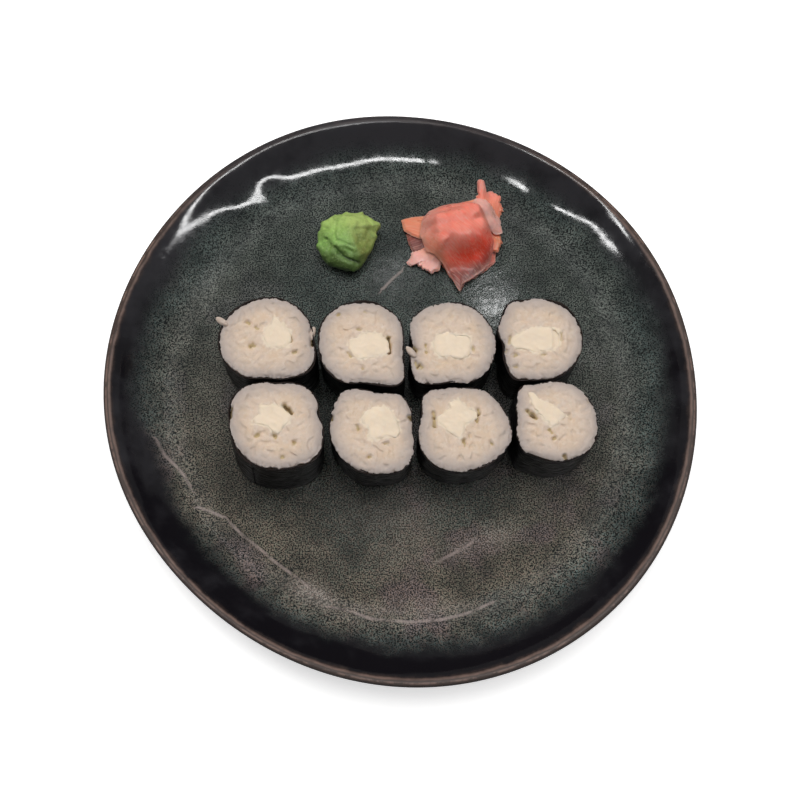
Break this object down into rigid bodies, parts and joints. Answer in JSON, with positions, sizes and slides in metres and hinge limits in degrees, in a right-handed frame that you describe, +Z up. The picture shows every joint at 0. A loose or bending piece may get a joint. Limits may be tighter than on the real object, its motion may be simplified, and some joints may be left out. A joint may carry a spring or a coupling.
{
  "type": "plate of maki sushi rolls",
  "caption": "Round dark-glazed stoneware plate that carries a serving of cut maki rolls with a cheese filling, a lump of wasabi and a pile of pickled ginger.",
  "frame": {"origin": "middle of the plate's underside, at the height of the surface it stands on", "axes": "+Z up; +X to the right along the rows of rolls; -Y towards the viewer, with the wasabi and ginger at the back (+Y)"},
  "size_m": [0.2116, 0.2134, 0.0338],
  "materials": {
    "glaze": "glossy dark reactive glaze, speckled grey-green with a near-black band and a bronze lip",
    "nori": "roasted seaweed, near black, faintly glossy",
    "rice": "moist cooked rice",
    "cheese": "smooth cream cheese, cut",
    "wasabi": "soft green paste, damp",
    "ginger": "thin wet slices, salmon pink, a little see-through"
  },
  "bodies": {
    "root": {"plate": "glaze", "nori_back_1": "nori", "nori_back_2": "nori", "nori_back_3": "nori", "nori_back_4": "nori", "nori_front_1": "nori", "nori_front_2": "nori", "nori_front_3": "nori", "nori_front_4": "nori", "rice_back_1": "rice", "rice_back_2": "rice", "rice_back_3": "rice", "rice_back_4": "rice", "rice_front_1": "rice", "rice_front_2": "rice", "rice_front_3": "rice", "rice_front_4": "rice", "cheese_back_1": "cheese", "cheese_back_2": "cheese", "cheese_back_3": "cheese", "cheese_back_4": "cheese", "cheese_front_1": "cheese", "cheese_front_2": "cheese", "cheese_front_3": "cheese", "cheese_front_4": "cheese", "wasabi": "wasabi", "ginger_heap": "ginger", "ginger_front": "ginger", "ginger_under": "ginger", "ginger_ruffle": "ginger", "ginger_left": "ginger", "ginger_rear": "ginger", "ginger_back": "ginger", "ginger_curl": "ginger", "ginger_fold": "ginger", "ginger_top": "ginger"}
  },
  "joints": []
}
